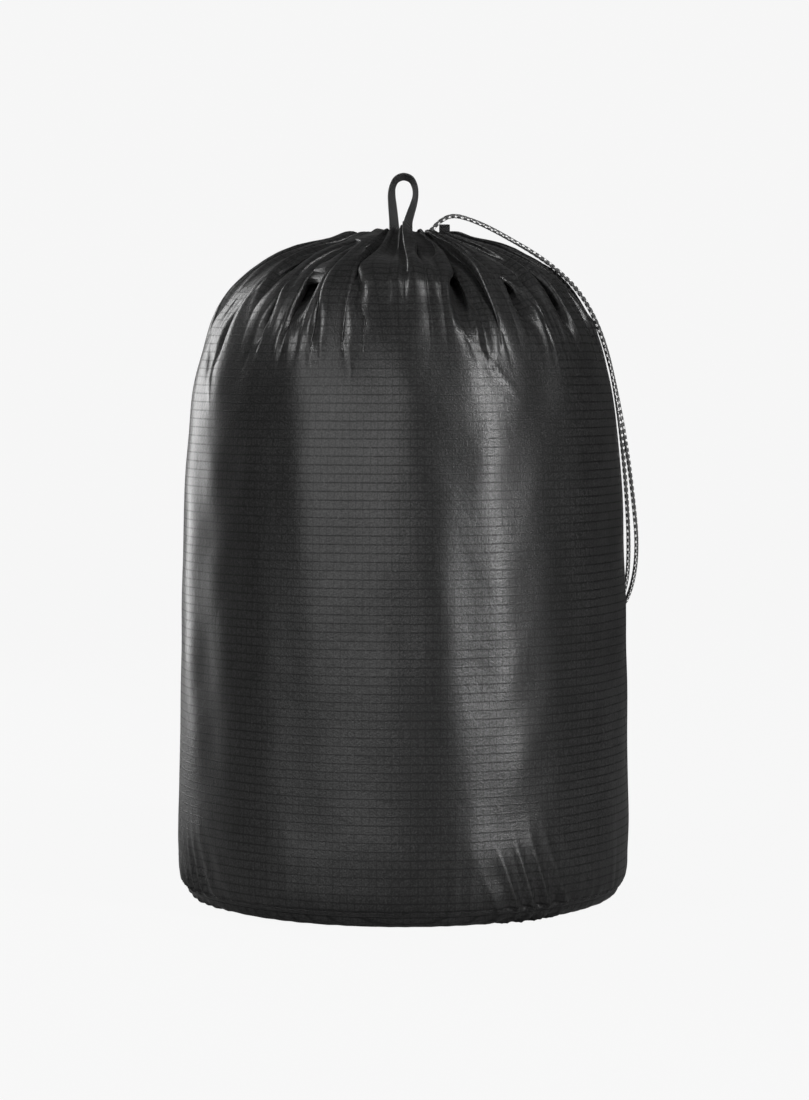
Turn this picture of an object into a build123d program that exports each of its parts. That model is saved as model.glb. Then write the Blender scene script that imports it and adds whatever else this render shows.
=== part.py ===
"""Drawstring stuff sack with a round base, standing filled, with its mouth drawn shut.

Millimetres, +Z up, origin at the middle of the base, front towards -Y. The cloth pieces are
plain closed solids of the filled shape. The cord lock, its button and its spring sit in the
hollow of the gathered mouth, and the two ends of the drawcord run through the lock, over the
right shoulder and down the side to a knot behind.
"""
import math
import os

from build123d import *

os.makedirs("parts", exist_ok=True)

# Cloth
CLOTH = 1.0
GATHERED_CLOTH = 2.0
GATHER_START = 0.7
BASE_FLAT_R = 112.0
SEAM_R = 122.4
SEAM_Z = 6.0
SIDE_OUTLINE = [
    (122.6, 6.3), (126.0, 28), (124.4, 108), (123.0, 186), (120.1, 254), (114.8, 293),
    (103.4, 326.3), (84.4, 348.6), (59.8, 362), (27.6, 371),
]
RIM_R = 25.1
RIM_FOOT_Z = 363.0

# Sewing
STITCH_LENGTH = 3.2
STITCH_WIDTH = 0.5
STITCH_PITCH = 4.6
BASE_ROW_Z = 9.0
SEAM_TAPE_WIDTH = 12.0
SEAM_TAPE = 0.6

# Tunnel at the mouth
TUNNEL_IN_R = 16.5
TUNNEL_OUT_R = 24.7
TUNNEL_TOP_Z = 368.4
GATHER_IN_R = 7.0
GATHER_TOP_Z = 360.6
GATHER_FOOT_Z = 358.4
TUNNEL_HALF_ANGLE = 137.0

# Drawcord
CORD_D = 2.4
CORD_Z = 365.6
CORD_RING_R = (TUNNEL_IN_R + TUNNEL_OUT_R) / 2
CORD_TURN_R = 7.2
STRAND_Y = 1.35
TAIL_START_X = 3.6
KNOT_R = 4.6

# Cord lock, its axis along Y
LOCK_X = -5.2
BARREL_R = 4.4
BARREL_FOOT_Y = -9.4
BARREL_MOUTH_Y = 6.4
BARREL_FLOOR = 1.2
BORE_R = 3.1
PLUNGER_R = 3.04
PLUNGER_FOOT_Y = -3.85
BUTTON_TOP_Y = 10.2
HOLE_HEIGHT = 2.8
HOLE_HALF_WIDTH = 2.7
PRESS_TRAVEL = 3.0
SPRING_R = 2.3
SPRING_WIRE = 0.4
SPRING_TURNS = 3

# Webbing loop and tab
WEBBING = 1.2
LOOP_Y = -13.5
LOOP_FOOT_Z = 372.1
TAIL_TOP_Z = 370.9
TAIL_FOOT_Z = 360.9
TAB_X = 23.2
TAB_Y = 8.2
TAB_FOOT_Z = 371.35
TAB_WIDTH = 6.0
TAB_HEIGHT = 3.9
TAB_DEPTH = 2.4


def save(builder, name):
    """Label a finished piece and write it to its own file."""
    builder.part.label = name
    export_step(builder.part, f"parts/{name}.step")


# ---------------------------------------------------------------- base panel
with BuildPart() as base_panel:
    with BuildSketch(Plane.XZ):
        with BuildLine():
            flat = Line((0, 0), (BASE_FLAT_R, 0))
            ThreePointArc(flat @ 1, (118.6, 1.7), (SEAM_R, SEAM_Z))
            offset(amount=CLOTH, side=Side.LEFT)
        make_face()
    revolve(axis=Axis.Z)
save(base_panel, "base_panel")

# ---------------------------------------------------------------- side panel
wall_line = Spline(*[(r, 0, z) for r, z in SIDE_OUTLINE])


def inside_wall(depth, start, end, count=13):
    """Outline points a depth inside the side wall, from one fraction of its length to another."""
    points = []
    for i in range(count):
        at = start + (end - start) * i / (count - 1)
        spot = wall_line @ at
        along = wall_line % at
        points.append((spot.X - depth * along.Z, spot.Z + depth * along.X))
    return points


with BuildPart() as side_panel:
    with BuildSketch(Plane.XZ):
        with BuildLine():
            wall_face = Spline(*inside_wall(0, 0, GATHER_START))
            wall_back = Spline(*inside_wall(CLOTH, 0, GATHER_START))
            Line(wall_face @ 0, wall_back @ 0)
            Line(wall_face @ 1, wall_back @ 1)
        make_face()
    revolve(axis=Axis.Z)
save(side_panel, "side_panel")

# The same cloth above its gathers' start, where its folds lie on each other
with BuildPart() as gathered_top:
    with BuildSketch(Plane.XZ):
        with BuildLine():
            top_face = Spline(*inside_wall(0, GATHER_START + 0.001, 1))
            turn = ThreePointArc(top_face @ 1, (25.8, 370.7), (RIM_R, 369.2))
            top_back = Spline(*inside_wall(GATHERED_CLOTH, GATHER_START + 0.001, 1))
            Polyline(turn @ 1, (RIM_R, RIM_FOOT_Z), (RIM_R + GATHERED_CLOTH, RIM_FOOT_Z), top_back @ 1)
            Line(top_back @ 0, top_face @ 0)
        make_face()
    revolve(axis=Axis.Z)
save(gathered_top, "gathered_top")

# ---------------------------------------------------------------- base seam
with BuildPart() as base_seam_binding:
    with BuildSketch(Plane.XZ):
        with Locations((119.7, 9.8)):
            RectangleRounded(2.0, 9.2, 0.6)
    revolve(axis=Axis.Z)
save(base_seam_binding, "base_seam_binding")

with BuildPart() as base_seam_stitches:
    row_r = 123.95 + STITCH_WIDTH
    stitch_count = round(2 * math.pi * row_r / STITCH_PITCH)
    with Locations((0, 0, BASE_ROW_Z)):
        with PolarLocations(row_r, stitch_count):
            Box(STITCH_WIDTH, STITCH_LENGTH, STITCH_WIDTH)
save(base_seam_stitches, "base_seam_stitches")

# ---------------------------------------------------------------- side seam, at the back
with BuildPart() as side_seam_tape:
    with BuildSketch(Plane.XZ):
        with BuildLine():
            tape_face = Spline(*inside_wall(CLOTH + 0.3, 0.04, GATHER_START - 0.01))
            tape_back = Spline(*inside_wall(CLOTH + 0.3 + SEAM_TAPE, 0.04, GATHER_START - 0.01))
            Line(tape_face @ 0, tape_back @ 0)
            Line(tape_face @ 1, tape_back @ 1)
        make_face()
    tape_angle = math.degrees(SEAM_TAPE_WIDTH / SEAM_R)
    revolve(axis=Axis.Z, revolution_arc=tape_angle)
side_seam_tape.part = side_seam_tape.part.rotate(Axis.Z, 90 - tape_angle / 2)
save(side_seam_tape, "side_seam_tape")

with BuildPart() as side_seam_stitches:
    row_start = 0.035
    row_end = GATHER_START - 0.01
    seam_count = round((row_end - row_start) * wall_line.length / STITCH_PITCH)
    for i in range(seam_count):
        at = row_start + (row_end - row_start) * i / (seam_count - 1)
        spot = wall_line @ at
        along = wall_line % at
        outward = Vector(0, along.Z, -along.X)
        centre = Vector(0, spot.X, spot.Z) + outward * (STITCH_WIDTH / 2 + 0.15)
        with Locations(Plane(origin=centre, x_dir=(1, 0, 0), z_dir=outward)):
            Box(STITCH_WIDTH, STITCH_LENGTH, STITCH_WIDTH)
save(side_seam_stitches, "side_seam_stitches")

# ---------------------------------------------------------------- tunnel at the mouth
with BuildPart() as drawcord_tunnel:
    with BuildSketch(Plane.XZ) as lip_section:
        with Locations(((GATHER_IN_R + TUNNEL_OUT_R) / 2, (GATHER_FOOT_Z + GATHER_TOP_Z) / 2)):
            Rectangle(TUNNEL_OUT_R - GATHER_IN_R, GATHER_TOP_Z - GATHER_FOOT_Z)
    revolve(axis=Axis.Z)
    hem_start = Plane.XZ.rotated((0, 0, -TUNNEL_HALF_ANGLE))
    with BuildSketch(hem_start) as hem_section:
        with Locations((CORD_RING_R, (GATHER_TOP_Z + TUNNEL_TOP_Z) / 2)):
            Rectangle(TUNNEL_OUT_R - TUNNEL_IN_R, TUNNEL_TOP_Z - GATHER_TOP_Z)
        fillet(hem_section.vertices().group_by(Axis.Z)[-1], 1.2)
        with Locations((CORD_RING_R, CORD_Z)):
            Circle(CORD_D / 2 + 0.15, mode=Mode.SUBTRACT)
    revolve(axis=Axis.Z, revolution_arc=2 * TUNNEL_HALF_ANGLE)
save(drawcord_tunnel, "drawcord_tunnel")

with BuildPart() as tunnel_stitches:
    hem_arc = 2 * TUNNEL_HALF_ANGLE - 10
    hem_row_r = TUNNEL_OUT_R - 2.4
    hem_count = round(math.radians(hem_arc) * hem_row_r / 3.2)
    with Locations((0, 0, TUNNEL_TOP_Z + STITCH_WIDTH / 2 + 0.1)):
        with PolarLocations(hem_row_r, hem_count, start_angle=-hem_arc / 2, angular_range=hem_arc):
            Box(STITCH_WIDTH, 2.2, STITCH_WIDTH)
save(tunnel_stitches, "tunnel_stitches")

# ---------------------------------------------------------------- drawcord held by the tunnel
turn_y = STRAND_Y + CORD_TURN_R
turn_x = -math.sqrt((CORD_RING_R - CORD_TURN_R) ** 2 - turn_y ** 2)
leave_angle = math.degrees(math.atan2(turn_y, turn_x))

with BuildPart() as drawcord_in_tunnel:
    with BuildLine(Plane.XY.offset(CORD_Z)) as ring_path:
        Line((TAIL_START_X, STRAND_Y), (turn_x, STRAND_Y))
        CenterArc((turn_x, turn_y), CORD_TURN_R, 270, leave_angle - 270)
        CenterArc((0, 0), CORD_RING_R, leave_angle, -2 * leave_angle)
        CenterArc((turn_x, -turn_y), CORD_TURN_R, -leave_angle, leave_angle - 270)
        Line((turn_x, -STRAND_Y), (TAIL_START_X, -STRAND_Y))
    with BuildSketch(Plane(origin=(TAIL_START_X, STRAND_Y, CORD_Z), z_dir=(-1, 0, 0))):
        Circle(CORD_D / 2)
    sweep(path=ring_path.wire())
save(drawcord_in_tunnel, "drawcord_in_tunnel")

# ---------------------------------------------------------------- free ends of the drawcord
STRAND_FRONT = [
    (3.6, -1.35, 365.6), (9.6, -1.35, 365.6), (15.6, -1.3, 370.6), (20.4, -0.9, 376.4),
    (27.6, -0.2, 380.8), (38.8, 0.4, 378.0), (50.4, 0.2, 373.2), (61.8, -0.6, 367.4),
    (74.6, -2.0, 360.4), (87.6, -3.6, 350.8), (99.6, -5.0, 338.8), (108.8, -5.8, 321.6),
    (115.8, -6.0, 299.8), (120.2, -5.6, 275.0), (123.4, -4.8, 248.5), (125.8, -3.0, 222.0),
    (127.8, 1.5, 196.0), (127.2, 12.0, 174.0), (122.6, 32.0, 157.0), (115.0, 54.0, 144.0),
    (108.6, 69.0, 134.0), (105.8, 74.2, 126.4),
]
STRAND_REAR = [
    (3.6, 1.35, 365.6), (9.6, 1.35, 365.6), (15.6, 1.5, 370.6), (20.4, 2.0, 376.4),
    (27.6, 2.9, 380.8), (38.8, 4.0, 378.2), (50.2, 4.2, 373.6), (61.6, 3.6, 367.8),
    (74.4, 2.4, 360.6), (87.4, 1.0, 351.0), (99.4, -0.2, 339.2), (108.6, -1.0, 322.0),
    (115.8, -1.2, 300.0), (120.6, -0.8, 275.0), (125.6, -0.2, 249.0), (129.8, 0.6, 222.0),
    (132.2, 4.0, 194.5), (130.4, 17.0, 171.5), (124.2, 38.5, 154.5), (116.8, 58.5, 142.4),
    (110.6, 71.2, 133.6), (107.6, 76.2, 126.4),
]


def corner_radii(points):
    """Radius at each corner: 0.45 of the shorter run over the tangent of half the turn."""
    corners = []
    for before, here, after in zip(points, points[1:], points[2:]):
        run_in = Vector(*here) - Vector(*before)
        run_out = Vector(*after) - Vector(*here)
        half_turn = math.radians(run_in.get_angle(run_out)) / 2
        corners.append(0.45 * min(run_in.length, run_out.length) / math.tan(half_turn))
    return corners


def cord_strand(points, name):
    """A round cord along straight runs joined by tangent arcs."""
    radii = corner_radii(points)
    start = Vector(*points[0])
    with BuildPart() as strand:
        with BuildLine() as path:
            FilletPolyline(*points, radius=radii)
        with BuildSketch(Plane(origin=start, z_dir=Vector(*points[1]) - start)):
            Circle(CORD_D / 2)
        sweep(path=path.wire())
    length = path.wire().length
    expected = math.pi * CORD_D ** 2 / 4 * length
    print(name, "length", round(length, 1), "volume ratio", round(strand.part.volume / expected, 4))
    print("  radii", [round(radius, 1) for radius in radii])
    save(strand, name)


cord_strand(STRAND_FRONT, "drawcord_strand_front")
cord_strand(STRAND_REAR, "drawcord_strand_rear")

# ---------------------------------------------------------------- knot at the cord's ends
KNOT_AT = Vector(105.9, 76.9, 122.6)
with BuildPart() as drawcord_knot:
    with Locations(KNOT_AT):
        Sphere(KNOT_R)
    for side in (-1, 1):
        end = Plane(origin=KNOT_AT + Vector(0.9, 1.0, 0) * side, z_dir=(-0.2 - 0.1 * side, 0.3, -1))
        with BuildSketch(end):
            Circle(CORD_D / 2)
        extrude(amount=14 + side)
save(drawcord_knot, "drawcord_knot")

# ---------------------------------------------------------------- cord lock
with BuildPart() as cord_lock_barrel:
    with BuildSketch(Plane.XZ.offset(-BARREL_MOUTH_Y)):
        with Locations((LOCK_X, CORD_Z)):
            Circle(BARREL_R)
    extrude(amount=BARREL_MOUTH_Y - BARREL_FOOT_Y)
    fillet(cord_lock_barrel.edges().sort_by(Axis.Y)[0], 1.4)
    fillet(cord_lock_barrel.edges().sort_by(Axis.Y)[-1], 0.4)
    with BuildSketch(Plane.XZ.offset(-BARREL_MOUTH_Y)):
        with Locations((LOCK_X, CORD_Z)):
            Circle(BORE_R)
    extrude(amount=BARREL_MOUTH_Y - BARREL_FOOT_Y - BARREL_FLOOR, mode=Mode.SUBTRACT)
    with BuildSketch(Plane.YZ.offset(LOCK_X)):
        with Locations((0, CORD_Z)):
            SlotOverall(2 * HOLE_HALF_WIDTH + 0.2, HOLE_HEIGHT)
    extrude(amount=BARREL_R + 1, both=True, mode=Mode.SUBTRACT)
    with BuildSketch(Plane.XY.offset(CORD_Z)):
        with Locations((LOCK_X, -1.6)):
            SlotOverall(4.6, 1.5, rotation=90)
    extrude(amount=BARREL_R + 1, both=True, mode=Mode.SUBTRACT)
save(cord_lock_barrel, "cord_lock_barrel")

with BuildPart() as cord_lock_plunger:
    with BuildSketch(Plane.XZ.offset(-BUTTON_TOP_Y)):
        with Locations((LOCK_X, CORD_Z)):
            Circle(PLUNGER_R)
    extrude(amount=BUTTON_TOP_Y - PLUNGER_FOOT_Y)
    fillet(cord_lock_plunger.edges().sort_by(Axis.Y)[-1], 1.2)
    with BuildSketch(Plane.YZ.offset(LOCK_X)):
        slot_foot = -HOLE_HALF_WIDTH
        slot_top = HOLE_HALF_WIDTH + PRESS_TRAVEL
        with Locations(((slot_foot + slot_top) / 2, CORD_Z)):
            SlotOverall(slot_top - slot_foot, HOLE_HEIGHT)
    extrude(amount=PLUNGER_R + 1, both=True, mode=Mode.SUBTRACT)
    lug_y = -0.1
    with BuildSketch(Plane.XY.offset(CORD_Z - 3.9)):
        with Locations((LOCK_X, lug_y)):
            Rectangle(1.2, 1.0)
    extrude(amount=1.6)
    with BuildSketch(Plane.XY.offset(CORD_Z + 2.3)):
        with Locations((LOCK_X, lug_y)):
            Rectangle(1.2, 1.0)
    extrude(amount=1.6)
save(cord_lock_plunger, "cord_lock_plunger")

with BuildPart() as cord_lock_spring:
    spring_foot_y = BARREL_FOOT_Y + BARREL_FLOOR + SPRING_WIRE / 2 + 0.05
    spring_length = PLUNGER_FOOT_Y - SPRING_WIRE / 2 - 0.05 - spring_foot_y
    coil_path = Helix(
        pitch=spring_length / SPRING_TURNS,
        height=spring_length,
        radius=SPRING_R,
        center=(LOCK_X, spring_foot_y, CORD_Z),
        direction=(0, 1, 0),
    )
    with BuildSketch(Plane(origin=coil_path @ 0, z_dir=coil_path % 0)):
        Circle(SPRING_WIRE / 2)
    sweep(path=coil_path, is_frenet=True)
save(cord_lock_spring, "cord_lock_spring")

# ---------------------------------------------------------------- webbing loop
LOOP_OUTSIDE = [(-7.4, 377), (-8.4, 386), (-7.9, 393.5), (0.3, 402.3), (8.4, 393.5), (7.4, 384.4), (5.4, 377)]
LOOP_INSIDE = [(-2.2, 377), (-3.4, 384), (-4.5, 392.5), (0.5, 398.4), (5.6, 392.5), (3.6, 384.4), (0.4, 377)]

with BuildPart() as webbing_loop:
    with BuildSketch(Plane.XZ.offset(-LOOP_Y - WEBBING / 2)):
        with BuildLine():
            outside = Spline(*LOOP_OUTSIDE)
            inside = Spline(*LOOP_INSIDE)
            left = Polyline(outside @ 0, (-7.4, LOOP_FOOT_Z), (-2.1, LOOP_FOOT_Z), inside @ 0)
            right = Polyline(inside @ 1, (-0.1, LOOP_FOOT_Z), (5.2, LOOP_FOOT_Z), outside @ 1)
        make_face()
    extrude(amount=WEBBING)
save(webbing_loop, "webbing_loop")

with BuildPart() as webbing_loop_sewn_ends:
    with BuildSketch(Plane.XZ.offset(-LOOP_Y - WEBBING / 2)):
        with Locations(*[(x, (TAIL_TOP_Z + TAIL_FOOT_Z) / 2) for x in (-4.75, 2.55)]):
            RectangleRounded(5.3, TAIL_TOP_Z - TAIL_FOOT_Z, 0.4)
    extrude(amount=WEBBING)
save(webbing_loop_sewn_ends, "webbing_loop_sewn_ends")

with BuildPart() as webbing_loop_bartacks:
    bar_y = LOOP_Y + WEBBING / 2 + 0.1 + STITCH_WIDTH / 2
    with Locations(*[(x, bar_y, 363 + 1.1 * i) for x in (-4.75, 2.55) for i in range(6)]):
        Box(4.4, STITCH_WIDTH, STITCH_WIDTH)
save(webbing_loop_bartacks, "webbing_loop_bartacks")

# ---------------------------------------------------------------- mouth tab
with BuildPart() as mouth_tab:
    with BuildSketch(Plane.YZ.offset(TAB_X - TAB_WIDTH / 2)) as fold:
        with Locations((TAB_Y, TAB_FOOT_Z + TAB_HEIGHT / 2)):
            Rectangle(TAB_DEPTH, TAB_HEIGHT)
        fillet(fold.vertices().group_by(Axis.Z)[-1], TAB_DEPTH / 2 - 0.05)
        with Locations((TAB_Y, TAB_FOOT_Z + TAB_HEIGHT / 2 - 0.45)):
            Rectangle(0.6, TAB_HEIGHT - 0.9, mode=Mode.SUBTRACT)
    extrude(amount=TAB_WIDTH)
save(mouth_tab, "mouth_tab")

with BuildPart() as mouth_tab_bartack:
    tack_y = TAB_Y - TAB_DEPTH / 2 - 0.1 - STITCH_WIDTH / 2
    with Locations(*[(TAB_X, tack_y, TAB_FOOT_Z + 0.4 + 0.8 * i) for i in range(2)]):
        Box(5.0, STITCH_WIDTH, STITCH_WIDTH)
save(mouth_tab_bartack, "mouth_tab_bartack")
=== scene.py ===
"""Drawstring stuff sack of black coated ripstop, packed full, its mouth drawn shut.

Metres, +Z up, the sack stands on z = 0 and its front faces -Y.
"""
import math
from functools import partial

import bpy
import numpy as np
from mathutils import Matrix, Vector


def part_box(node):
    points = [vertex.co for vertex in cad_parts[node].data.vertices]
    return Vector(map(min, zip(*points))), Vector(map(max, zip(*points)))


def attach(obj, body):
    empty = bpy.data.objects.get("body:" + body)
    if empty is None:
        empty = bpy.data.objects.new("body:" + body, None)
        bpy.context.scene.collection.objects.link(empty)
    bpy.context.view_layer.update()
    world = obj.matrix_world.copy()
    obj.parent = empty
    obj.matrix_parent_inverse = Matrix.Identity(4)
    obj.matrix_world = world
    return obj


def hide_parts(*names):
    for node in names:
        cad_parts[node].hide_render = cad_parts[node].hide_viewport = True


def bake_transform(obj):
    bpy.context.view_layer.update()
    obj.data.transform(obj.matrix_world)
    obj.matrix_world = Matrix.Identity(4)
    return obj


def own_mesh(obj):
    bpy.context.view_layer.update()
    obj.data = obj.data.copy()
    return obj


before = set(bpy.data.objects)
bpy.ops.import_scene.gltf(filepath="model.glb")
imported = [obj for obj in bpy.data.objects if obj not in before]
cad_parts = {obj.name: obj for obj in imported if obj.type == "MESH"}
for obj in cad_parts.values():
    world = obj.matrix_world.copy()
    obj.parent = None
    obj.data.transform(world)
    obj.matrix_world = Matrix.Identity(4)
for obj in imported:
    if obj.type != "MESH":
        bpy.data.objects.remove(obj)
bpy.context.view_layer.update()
scene = bpy.context.scene

# ---------------------------------------------------------------- camera
# It stands 1.8 m in front, 0.3 m above the floor, and looks slightly down.
camera_data = bpy.data.cameras.new("camera")
camera_data.lens = 104.6
camera_data.sensor_width = 36.0
camera_data.clip_start = 0.05
camera_data.clip_end = 60.0
camera = bpy.data.objects.new("camera", camera_data)
camera.location = (0.00084, -1.786, 0.300)
camera.rotation_euler = (math.radians(90 - 3.416), 0, 0)
scene.collection.objects.link(camera)
scene.camera = camera


# ---------------------------------------------------------------- drawcord
# Braided cord, 2.4 mm thick, of grey yarn with pale tracer yarns that show as flecks. Its middle
# runs in the hem; its two ends leave the mouth, cross the right shoulder, hang down the side and
# are tied together behind.
TURN = 2 * math.pi
CORD_R = 0.0012
CORD_CARRIERS = 8
BRAID_PITCH = 0.0072
FLECK_PITCH = 0.0036

STRAND_FRONT = np.array([
    (3.6, -1.35, 365.6), (9.6, -1.35, 365.6), (15.4, -1.3, 371.2), (20.2, -0.9, 376.6),
    (27.6, -0.2, 380.4), (38.8, 0.4, 377.2), (50.0, 0.2, 372.0), (61.0, -0.6, 365.8),
    (73.6, -2.0, 358.6), (86.6, -3.6, 349.0), (98.4, -5.0, 337.0), (108.0, -5.8, 320.4),
    (115.0, -6.0, 299.4), (119.4, -5.6, 275.0), (122.6, -4.8, 248.5), (125.0, -3.0, 222.0),
    (126.6, 1.5, 196.0), (126.4, 12.0, 174.0), (122.0, 32.0, 157.0), (114.6, 54.0, 144.0),
    (108.6, 69.0, 134.0), (105.8, 74.2, 126.4),
]) * 0.001
STRAND_REAR = np.array([
    (3.6, 1.35, 365.6), (9.6, 1.35, 365.6), (15.4, 1.5, 371.2), (20.2, 2.0, 376.6),
    (27.6, 2.9, 380.4), (38.8, 3.6, 377.4), (49.8, 3.4, 372.4), (60.8, 2.6, 366.2),
    (73.2, 1.2, 358.8), (86.4, -0.4, 349.4), (98.4, -1.6, 337.6), (107.8, -2.4, 321.0),
    (114.8, -2.6, 299.8), (120.4, -1.8, 275.0), (125.2, -0.8, 249.0), (128.8, 0.2, 222.0),
    (131.6, 4.0, 194.5), (129.8, 17.0, 171.5), (123.8, 38.5, 154.5), (116.4, 58.5, 142.4),
    (110.6, 71.2, 133.6), (107.6, 76.2, 126.4),
]) * 0.001


def spline_points(controls, name):
    """Points of the smooth line that a cord takes through its route: a NURBS curve of order 3
    on the route's points, which starts and ends on the first and last of them."""
    curve = bpy.data.curves.new(name, "CURVE")
    curve.dimensions = "3D"
    curve.resolution_u = 24
    spline = curve.splines.new("NURBS")
    spline.points.add(len(controls) - 1)
    spline.points.foreach_set("co", np.c_[controls, np.ones(len(controls))].ravel())
    spline.order_u = 3
    spline.use_endpoint_u = True
    holder = bpy.data.objects.new(name, curve)
    scene.collection.objects.link(holder)
    bpy.context.view_layer.update()
    mesh = bpy.data.meshes.new_from_object(holder.evaluated_get(bpy.context.evaluated_depsgraph_get()))
    points = np.empty(len(mesh.vertices) * 3)
    mesh.vertices.foreach_get("co", points)
    bpy.data.objects.remove(holder)
    bpy.data.meshes.remove(mesh)
    bpy.data.curves.remove(curve)
    return points.reshape(-1, 3)


def even_points(points, step):
    """The same line cut into equal steps of about the given length."""
    along = run_lengths(points)
    places = np.linspace(0, along[-1], max(2, round(along[-1] / step)) + 1)
    return np.stack([np.interp(places, along, points[:, k]) for k in range(3)], 1), places


def run_lengths(points):
    """Length from the first point to each point, along straight pieces."""
    return np.r_[0, np.cumsum(np.linalg.norm(np.diff(points, axis=0), axis=1))]


def unit(vectors):
    """Each vector divided by its own length."""
    return vectors / np.maximum(np.linalg.norm(vectors, axis=-1, keepdims=True), 1e-12)


def carried_frames(points):
    """Tangent, side and up vectors along a line. The side vector is carried from one point to
    the next and made square to the tangent again, so the frames don't spin."""
    tangent = unit(np.gradient(points, axis=0))
    side = np.empty_like(tangent)
    across = np.cross(tangent[0], (0.0, 0.0, 1.0))
    if np.linalg.norm(across) < 0.1:
        across = np.cross(tangent[0], (0.0, 1.0, 0.0))
    side[0] = across / np.linalg.norm(across)
    for i in range(1, len(points)):
        kept = side[i - 1] - tangent[i] * np.dot(side[i - 1], tangent[i])
        side[i] = kept / np.linalg.norm(kept)
    return tangent, side, np.cross(tangent, side)


def grid_mesh(name, places, uv, around=False, caps=False):
    """A mesh from a grid of places (rows, columns, xyz) and its UV, where around joins the last
    column to the first and caps closes the first and last rows. The UV grid has one column more
    than the places when around is set, so that the pattern doesn't jump at the joint."""
    rows, columns = places.shape[:2]
    mesh = bpy.data.meshes.new(name)
    wide = columns if around else columns - 1
    r, c = np.meshgrid(np.arange(rows - 1), np.arange(wide), indexing="ij")
    after = (c + 1) % columns
    corners = np.stack([r * columns + c, r * columns + after,
                        (r + 1) * columns + after, (r + 1) * columns + c], -1).reshape(-1, 4)
    uv_corners = np.stack([uv[r, c], uv[r, c + 1], uv[r + 1, c + 1], uv[r + 1, c]], -2).reshape(-1, 2)
    faces = [tuple(q) for q in corners.tolist()]
    if caps:
        faces.append(tuple(range(columns - 1, -1, -1)))
        faces.append(tuple(range((rows - 1) * columns, rows * columns)))
        ends = np.r_[uv[0, :columns][::-1], uv[-1, :columns]]
        uv_corners = np.r_[uv_corners, ends]
    mesh.from_pydata(places.reshape(-1, 3).tolist(), [], faces)
    layer = mesh.uv_layers.new(name="UVMap")
    layer.data.foreach_set("uv", uv_corners.astype(np.float32).ravel())
    mesh.polygons.foreach_set("use_smooth", np.ones(len(mesh.polygons), bool))
    mesh.update()
    piece = bpy.data.objects.new(name, mesh)
    scene.collection.objects.link(piece)
    return piece


def braided_cord(name, controls, smooth_route=True, step=0.00028):
    """A round cord carried along its route. The radius rises and falls where the carriers of
    the braid cross: two sets of helices of opposite hand, the higher of the two on top."""
    line = spline_points(controls, name) if smooth_route else controls
    points, along = even_points(line, step)
    tangent, side, up = carried_frames(points)
    angle = np.linspace(0, TURN, 25)
    turn, run = np.meshgrid(angle, along)
    right = np.cos(CORD_CARRIERS / 2 * turn - TURN * run * CORD_CARRIERS / 2 / BRAID_PITCH)
    left = np.cos(CORD_CARRIERS / 2 * turn + TURN * run * CORD_CARRIERS / 2 / BRAID_PITCH)
    radius = CORD_R * (0.93 + 0.08 * np.maximum(right, left))
    ring = np.cos(turn)[..., None] * side[:, None] + np.sin(turn)[..., None] * up[:, None]
    places = points[:, None] + radius[..., None] * ring
    uv = np.stack([turn / TURN, run], -1)
    piece = grid_mesh(name, places[:, :-1], uv, around=True, caps=True)
    return piece, points, along[-1]


def new_material(name):
    """An empty node material, its nodes, its links and its Principled shader."""
    material = bpy.data.materials.new(name)
    material.use_nodes = True
    nodes = material.node_tree.nodes
    return material, nodes, material.node_tree.links, nodes["Principled BSDF"]


def math_node(nodes, links, operation, first, second=None, third=None, clamp=False):
    """A Math node with its inputs linked or set, and its output."""
    node = nodes.new("ShaderNodeMath")
    node.operation = operation
    node.use_clamp = clamp
    for socket, value in zip(node.inputs, (first, second, third)):
        if value is None:
            continue
        if isinstance(value, (int, float)):
            socket.default_value = value
        else:
            links.new(value, socket)
    return node.outputs[0]


def colour_ramp(nodes, links, fac, stops):
    """A Color Ramp through (position, grey or colour) stops."""
    node = nodes.new("ShaderNodeValToRGB")
    ramp = node.color_ramp
    while len(ramp.elements) < len(stops):
        ramp.elements.new(0.5)
    for element, (position, tone) in zip(ramp.elements, stops):
        element.position = position
        element.color = (*tone, 1) if isinstance(tone, tuple) else (tone, tone, tone, 1)
    links.new(fac, node.inputs["Fac"])
    return node.outputs["Color"]


def cloth_noise_group():
    """Uneven tone of a textile: broad patches and fine fibre noise, from 0 to 1 about a half."""
    group = bpy.data.node_groups.new("textile_noise", "ShaderNodeTree")
    face = group.interface
    face.new_socket("Vector", in_out="INPUT", socket_type="NodeSocketVector")
    face.new_socket("Patch Scale", in_out="INPUT", socket_type="NodeSocketFloat")
    face.new_socket("Fibre Scale", in_out="INPUT", socket_type="NodeSocketFloat")
    face.new_socket("Patches", in_out="OUTPUT", socket_type="NodeSocketFloat")
    face.new_socket("Fibres", in_out="OUTPUT", socket_type="NodeSocketFloat")
    start = group.nodes.new("NodeGroupInput")
    end = group.nodes.new("NodeGroupOutput")
    for scale, out, detail in (("Patch Scale", "Patches", 3.0), ("Fibre Scale", "Fibres", 2.0)):
        noise = group.nodes.new("ShaderNodeTexNoise")
        noise.inputs["Detail"].default_value = detail
        group.links.new(start.outputs["Vector"], noise.inputs["Vector"])
        group.links.new(start.outputs[scale], noise.inputs["Scale"])
        group.links.new(noise.outputs["Fac"], end.inputs[out])
    return group


textile_noise = cloth_noise_group()


def add_textile_noise(nodes, links, vector, patch_scale, fibre_scale):
    """Places the textile noise group in a material and gives its two outputs."""
    node = nodes.new("ShaderNodeGroup")
    node.node_tree = textile_noise
    links.new(vector, node.inputs["Vector"])
    node.inputs["Patch Scale"].default_value = patch_scale
    node.inputs["Fibre Scale"].default_value = fibre_scale
    return node.outputs["Patches"], node.outputs["Fibres"]


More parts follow.
